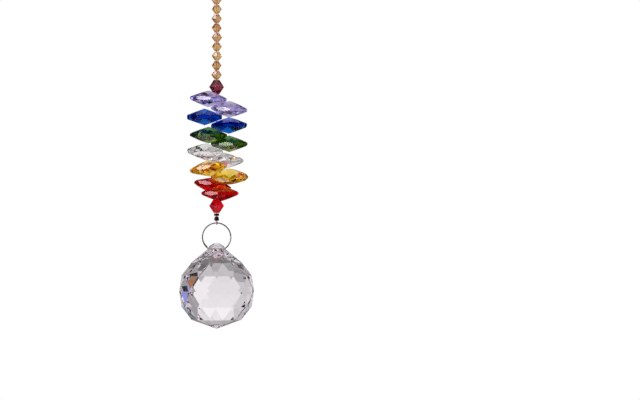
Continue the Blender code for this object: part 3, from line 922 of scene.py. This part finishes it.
# The studio's cards: the turn (0 in front, 90 to the right, 180 behind) and rise of the middle,
# half the width and height and the softness of the edges, in degrees, then the light's colour
CARDS = (
    ("bright_card", 165, -4, 10, 12.8, 1, (0.97, 0.94, 0.96)),
    ("low_shade", 162, -44, 9, 14, 3, (0.12, 0.115, 0.12)),
    ("dark_flag", 142, 6, 13, 32, 3, (0.36, 0.35, 0.37)),
    ("black_card", 150, -24, 7, 5, 0.3, (0.0, 0.0, 0.0)),
    ("orange_card", 152, -12.5, 6, 6.5, 0.3, (0.44, 0.15, 0.04)),
    ("middle_black_card", 151, 0, 5, 4, 1, (0.10, 0.10, 0.11)),
    ("low_black_card", 134, -5.5, 7, 4.5, 0.5, (0.0, 0.0, 0.0)),
    ("violet_card", 134, 6, 7, 7, 1, (0.30, 0.32, 0.85)),
    ("blue_card", 110, 24, 8, 8, 2, (0.40, 0.55, 0.85)),
    ("teal_card", 124, 43, 9, 7, 2, (0.07, 0.12, 0.15)),
)
# The windows in front, which shine in the facets that face them
WINDOWS = (
    ("skylight", -80, 59, 10, 7, 1, (9.0, 8.6, 8.8)),
    ("high_window", -38, 7.3, 22, 10.7, 0.5, (4.6, 4.3, 4.4)),
    ("low_window", -50, -22, 8, 7, 1, (2.8, 2.4, 2.1)),
)
MIRRORED = 0.03     # how much of the room's middle, without its windows, shows as reflections


def studio_world():
    """A pale room with cards and windows, darker low and high behind; the camera sees white."""
    world = bpy.data.worlds.new("studio")
    world.use_nodes = True
    tree = world.node_tree
    tree.nodes.clear()
    way = add_node(tree, "ShaderNodeTexCoord")["Generated"]
    parts = add_node(tree, "ShaderNodeSeparateXYZ", {}, {"Vector": way})
    around = parts["X"].maths("ARCTAN2", -parts["Y"])
    aside = parts["X"].maths("ARCTAN2", parts["Y"])
    rise = parts["Z"].maths("ARCSINE")
    stops = [((at + 90) / 180, (glow, glow * 0.97, glow * 0.985)) for at, glow in BACK_LIGHT]
    light = add_node(tree, "ShaderNodeValToRGB", {"stops": stops}, {"Fac": rise / pi + 0.5})["Color"]
    shaded = aside.fade(radians(-33), radians(-24), 0.76, 1.0)
    light = mix_colours(tree, 1.0, light, grey(tree, shaded), "MULTIPLY")
    light = mix_colours(tree, abs(aside).fade(radians(75), radians(100), 0.0, 1.0), light, FRONT_LIGHT)

    def put(light, cards):
        for _, turn_at, rise_at, half_wide, half_high, soft, shade in cards:
            across, up = (abs(angle - radians(at)).fade(radians(half - soft), radians(half + soft))
                          for angle, at, half in ((around, turn_at, half_wide),
                                                  (rise, rise_at, half_high)))
            light = mix_colours(tree, across * up, light, shade)
        return light

    ray = add_node(tree, "ShaderNodeLightPath")
    dimmed = 1 - (1 - MIRRORED) * ray["Is Reflection Ray"] * abs(rise).fade(radians(44), radians(50))
    light = mix_colours(tree, 1.0, put(light, CARDS), grey(tree, dimmed), "MULTIPLY")
    light = mix_colours(tree, ray["Is Camera Ray"], put(light, WINDOWS), (1.0, 1.0, 1.0))
    back = add_node(tree, "ShaderNodeBackground", {}, {"Color": light, "Strength": 1.0})
    add_node(tree, "ShaderNodeOutputWorld", {}, {"Surface": back["Background"]})
    return world


class SUNCATCHER_OT_ball(SuncatcherOperator, bpy.types.Operator):
    """Makes the faceted ball with its drilled knob"""
    bl_idname = "suncatcher.ball"
    bl_label = "Ball"

    def execute(self, context):
        s = settings().ball
        mesh = ball_mesh()
        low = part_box("crystal_ball")[0]
        mesh.transform(Matrix.Translation((0, 0, low.z + s.point)))
        place_piece("cut_ball", mesh, "clear_crystal", "crystal_ball")
        return {"FINISHED"}


class SUNCATCHER_OT_octagons(SuncatcherOperator, bpy.types.Operator):
    """Makes the twelve octagon beads where the frame has them"""
    bl_idname = "suncatcher.octagons"
    bl_label = "Octagon beads"

    def execute(self, context):
        by_corners, by_flats = octagon_mesh(0.0), octagon_mesh(0.5)
        for name in OCTAGON_COLOURS:
            cut = by_flats if name in DRILLED_BY_FLATS else by_corners
            for number in (1, 2):
                node = f"octagon_{name}_{number}"
                mesh = cut.copy()
                mesh.transform(octagon_pose(node))
                place_piece(f"{name}_octagon_{number}", mesh, f"{name}_crystal", node)
        return {"FINISHED"}


class SUNCATCHER_OT_large_bicones(SuncatcherOperator, bpy.types.Operator):
    """Makes the red and the purple bicone at the two ends of the octagons"""
    bl_idname = "suncatcher.large_bicones"
    bl_label = "Large bicones"

    def execute(self, context):
        s = settings().bicone
        for name in ("red", "purple"):
            mesh = bicone_mesh(f"{name}_bicone", s.large_wide, s.large_long, s.large_end,
                               s.large_hole)
            mesh.transform(Matrix.Translation(middle(f"bead_{name}")))
            place_piece(f"{name}_bicone", mesh, f"{name}_crystal", f"bead_{name}")
        return {"FINISHED"}


class SUNCATCHER_OT_small_bicones(SuncatcherOperator, bpy.types.Operator):
    """Makes the row of champagne bicones"""
    bl_idname = "suncatcher.small_bicones"
    bl_label = "Small bicones"

    def execute(self, context):
        s = settings().bicone
        lowest, highest = middle(SMALL_BICONE_NODES[0]).z, middle(SMALL_BICONE_NODES[-1]).z
        beads = len(SMALL_BICONE_NODES)
        bead = bicone_mesh("champagne_bicone", s.small_wide, s.small_long, s.small_end, s.small_hole)
        row = run_group(new_object("bead", bead), bead_row_group(), {
            "Beads": beads, "Lowest": lowest, "Step": (highest - lowest) / (beads - 1),
            "Turn": -s.small_turn, "Sway": s.small_sway, "Lean": s.small_lean, "Seed": 7,
            "Glass": finish("champagne_crystal")})
        place_piece("champagne_row", row, "champagne_crystal", *SMALL_BICONE_NODES)
        return {"FINISHED"}


class SUNCATCHER_OT_rings(SuncatcherOperator, bpy.types.Operator):
    """Winds the two split rings"""
    bl_idname = "suncatcher.rings"
    bl_label = "Split rings"

    def execute(self, context):
        s = settings().metal
        tree = split_ring_group()
        for node in ("ring_top", "ring_bottom"):
            low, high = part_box(node)
            centre = Vector((0, 0, (low.z + high.z) / 2))
            start = new_object("wire_start", bpy.data.meshes.new("wire_start"))
            mesh = run_group(start, tree, {
                "Middle": centre, "Radius": (high.z - low.z) / 2 - s.wire / 2, "Wire": s.wire,
                "Turn Gap": s.turn_gap, "Crossing At": s.crossing_at, "Crossing": s.crossing,
                "Spring": s.spring, "Spring Over": s.spring_over, "Steps": s.ring_steps,
                "Sides": s.wire_sides, "Metal": finish("steel")})
            place_piece(f"split_{node}", mesh, "steel", node)
        return {"FINISHED"}


class SUNCATCHER_OT_crimps(SuncatcherOperator, bpy.types.Operator):
    """Makes the squeezed collars and knots that hold the thread's ends"""
    bl_idname = "suncatcher.crimps"
    bl_label = "Crimps"

    def execute(self, context):
        s = settings().metal
        for end in ("bottom", "top"):
            for node, rows, dent in ((f"collar_{end}", COLLAR_ROWS, s.collar_dent),
                                     (f"knot_{end}", KNOT_ROWS, s.knot_dent)):
                mesh = crimp_mesh(node, rows, dent)
                mesh.transform(Matrix.Translation(middle(node)))
                place_piece(f"crimped_{node}", mesh, "dark_metal", node)
        return {"FINISHED"}


class SUNCATCHER_OT_thread(SuncatcherOperator, bpy.types.Operator):
    """Runs the thread through every bead and round both rings"""
    bl_idname = "suncatcher.thread"
    bl_label = "Thread"

    def execute(self, context):
        s = settings().thread
        curve = bpy.data.curves.new("thread_path", "CURVE")
        curve.dimensions = "3D"
        points = smooth_route(thread_route())
        spline = curve.splines.new("POLY")
        spline.points.add(len(points) - 1)
        for spot, place in zip(spline.points, points):
            spot.co = (*place, 1.0)
        mesh = run_group(new_object("thread_path", curve), thread_group(), {
            "Thickness": s.thick, "Step": s.step, "Sides": s.sides, "Nylon": finish("thread")})
        place_piece("nylon_thread", mesh, "thread", "thread")
        return {"FINISHED"}


def thread_route():
    """The thread's way: from its cut end round the lower ring, up, round the top ring and back."""
    s, wire = settings().thread, settings().metal
    drop = wire.wire / 2 + s.thick / 2 + s.gap
    depth = drop + (wire.wire + wire.turn_gap) / 2

    def loop(ring, side):
        """Round a ring's two turns: side is -1 over a ring that hangs, 1 under one that carries."""
        low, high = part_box(ring)
        z = low.z + wire.wire / 2 if side > 0 else high.z - wire.wire / 2
        angles = [radians(a) for a in (-15, 15, 50, 90, 130, 165, 195)]
        return [(-s.skew * cos(a), -depth * cos(a), z + side * drop * sin(a)) for a in angles]

    def through(knot, side, end):
        """Through a knot, from its upper or lower end (1 or -1) to the other."""
        low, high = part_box(knot)
        ends = (high.z, low.z) if end > 0 else (low.z, high.z)
        return [(0, side, z) for z in ends]

    low_collar, top_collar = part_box("collar_bottom"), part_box("collar_top")
    strand = np.linspace(low_collar[1].z + s.meet, top_collar[0].z - s.meet, 13)
    return [(0, -s.spread, low_collar[0].z + s.tail), *through("knot_bottom", -s.spread, 1),
            *loop("ring_bottom", -1), *through("knot_bottom", s.spread, -1),
            (0, s.spread, middle("collar_bottom").z), *[(0, 0, z) for z in strand],
            (0, -s.spread, middle("collar_top").z), *through("knot_top", -s.spread, -1),
            *loop("ring_top", 1), *through("knot_top", s.spread, 1),
            (0, s.spread, top_collar[1].z - s.tail)]


def smooth_route(points, samples=24):
    """A smooth curve through the given points, finely sampled."""
    p = np.array([points[0], *points, points[-1]])
    found = []
    for k in range(1, len(p) - 2):
        a, b, c, d = p[k - 1:k + 3]
        for t in np.linspace(0, 1, samples, endpoint=False):
            found.append(0.5 * (2 * b + (c - a) * t + (2 * a - 5 * b + 4 * c - d) * t ** 2
                                + (3 * b - a - 3 * c + d) * t ** 3))
    return [*found, p[-1]]


# The add-on

class SUNCATCHER_PT_panel(bpy.types.Panel):
    """Lists the suncatcher's pieces in the sidebar"""
    bl_idname = "SUNCATCHER_PT_panel"
    bl_label = "Suncatcher"
    bl_space_type = "VIEW_3D"
    bl_region_type = "UI"
    bl_category = "Suncatcher"

    def draw(self, context):
        for operator in OPERATORS:
            self.layout.operator(operator.bl_idname)
        for name in ("ball", "octagon", "bicone", "metal", "thread", "glass", "studio"):
            box = self.layout.box()
            box.label(text=name.capitalize())
            group = getattr(settings(), name)
            for prop in group.bl_rna.properties:
                if not prop.is_readonly and prop.identifier != "name":
                    box.prop(group, prop.identifier)


GROUPS = (BallSizes, OctagonSizes, BiconeSizes, MetalSizes, ThreadSizes, GlassColours, StudioLook,
          SuncatcherSettings)
OPERATORS = (SUNCATCHER_OT_stage, SUNCATCHER_OT_ball, SUNCATCHER_OT_octagons,
             SUNCATCHER_OT_large_bicones, SUNCATCHER_OT_small_bicones, SUNCATCHER_OT_rings,
             SUNCATCHER_OT_crimps, SUNCATCHER_OT_thread)


def register():
    for group in (*GROUPS, *OPERATORS, SUNCATCHER_PT_panel):
        bpy.utils.register_class(group)
    bpy.types.Scene.suncatcher = PointerProperty(type=SuncatcherSettings)


def unregister():
    del bpy.types.Scene.suncatcher
    for group in reversed((*GROUPS, *OPERATORS, SUNCATCHER_PT_panel)):
        bpy.utils.unregister_class(group)


def main():
    register()
    bpy.ops.suncatcher.stage()
    bpy.ops.suncatcher.ball()
    bpy.ops.suncatcher.octagons()
    bpy.ops.suncatcher.large_bicones()
    bpy.ops.suncatcher.small_bicones()
    bpy.ops.suncatcher.rings()
    bpy.ops.suncatcher.crimps()
    bpy.ops.suncatcher.thread()
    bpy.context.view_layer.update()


if __name__ == "__main__":
    main()
